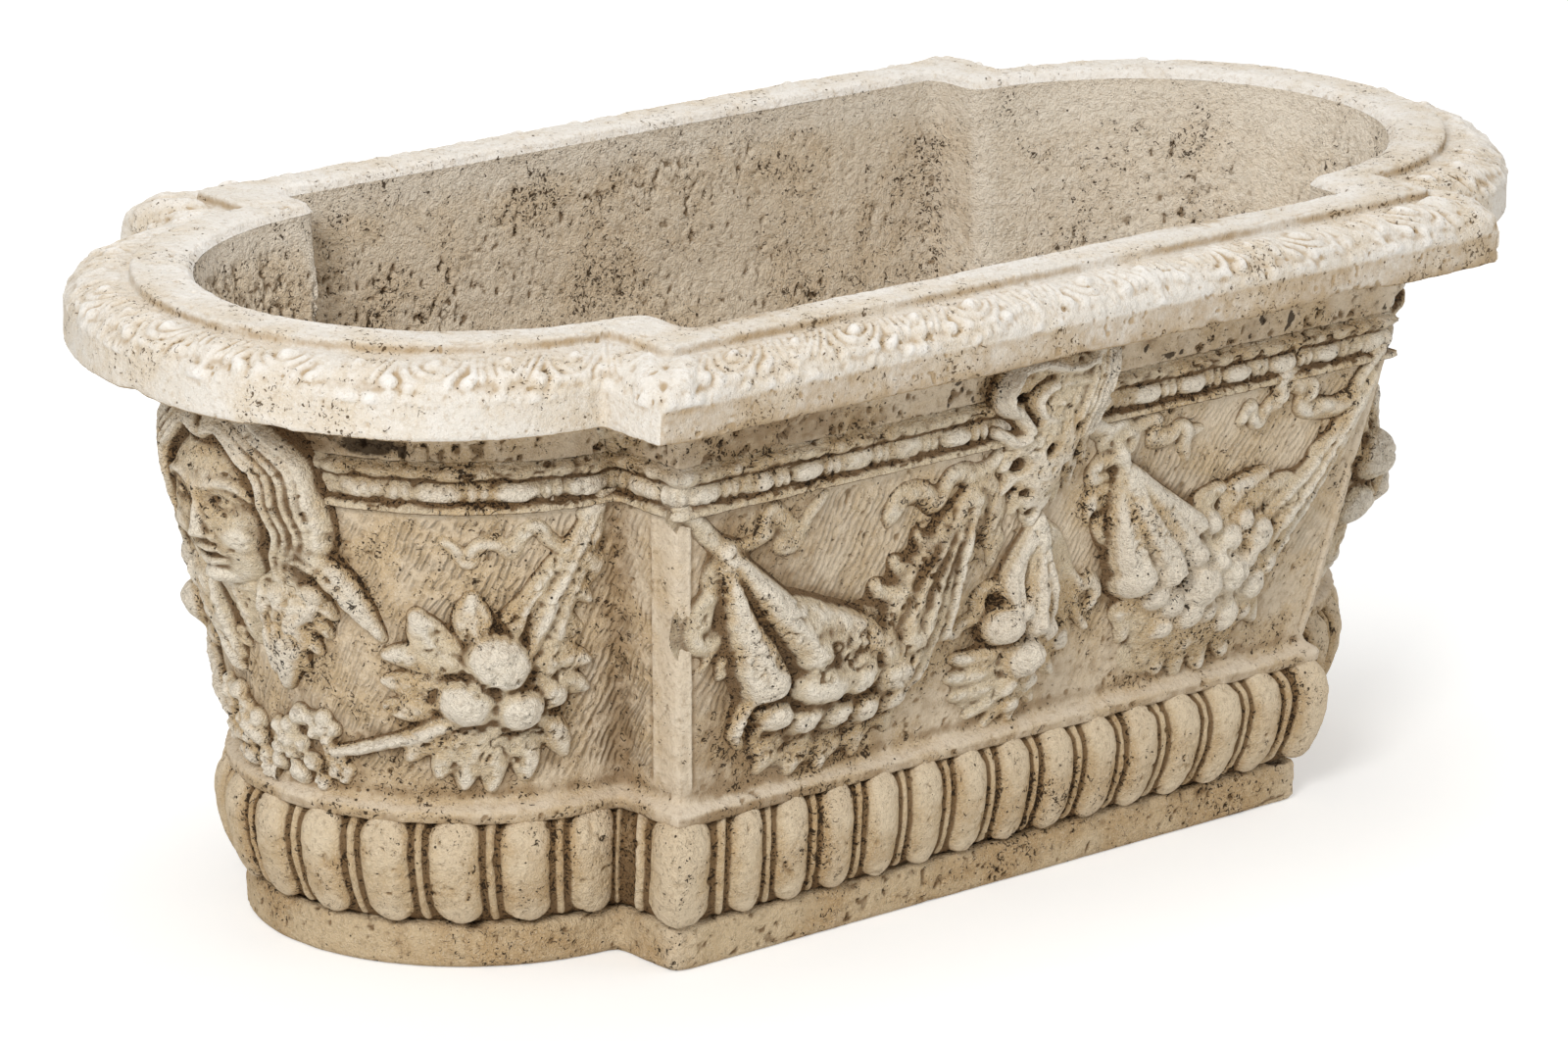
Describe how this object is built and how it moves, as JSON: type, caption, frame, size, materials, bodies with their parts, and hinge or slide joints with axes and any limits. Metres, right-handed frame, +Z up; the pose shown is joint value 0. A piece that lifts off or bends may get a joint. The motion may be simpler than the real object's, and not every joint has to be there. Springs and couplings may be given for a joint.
{
  "type": "garden trough planter",
  "caption": "Cast-stone garden trough with bowed ends, gadrooned foot, heavy carved rim, fruit swags and end masks, hollow with a drain hole.",
  "frame": {"origin": "on the floor under the middle of the trough", "axes": "+X along its length, -Y out of the front, +Z up"},
  "size_m": [1, 0.482, 0.384],
  "materials": {
    "ochre_stone": "matt, pitted, earth-stained",
    "tan_stone": "matt, pitted, weathered",
    "relief_stone": "matt, worn paler on the high spots",
    "cream_stone": "matt, rain-bleached"
  },
  "bodies": {
    "root": {"plinth": "ochre_stone", "trough": "tan_stone", "gadroon_course": "ochre_stone", "bead_course": "tan_stone", "rim": "cream_stone", "festoon_front_left": "relief_stone", "festoon_front_right": "relief_stone", "cartouche_front": "relief_stone", "fruit_drop_front": "relief_stone", "festoon_back_left": "relief_stone", "festoon_back_right": "relief_stone", "cartouche_back": "relief_stone", "fruit_drop_back": "relief_stone", "mask_left": "relief_stone", "grapes_left": "relief_stone", "garland_left_near": "relief_stone", "garland_left_far": "relief_stone", "mask_right": "relief_stone", "grapes_right": "relief_stone", "garland_right_near": "relief_stone", "garland_right_far": "relief_stone", "corner_boss_left_front": "tan_stone", "corner_boss_left_back": "tan_stone", "corner_boss_right_front": "tan_stone", "corner_boss_right_back": "tan_stone"}
  },
  "joints": []
}
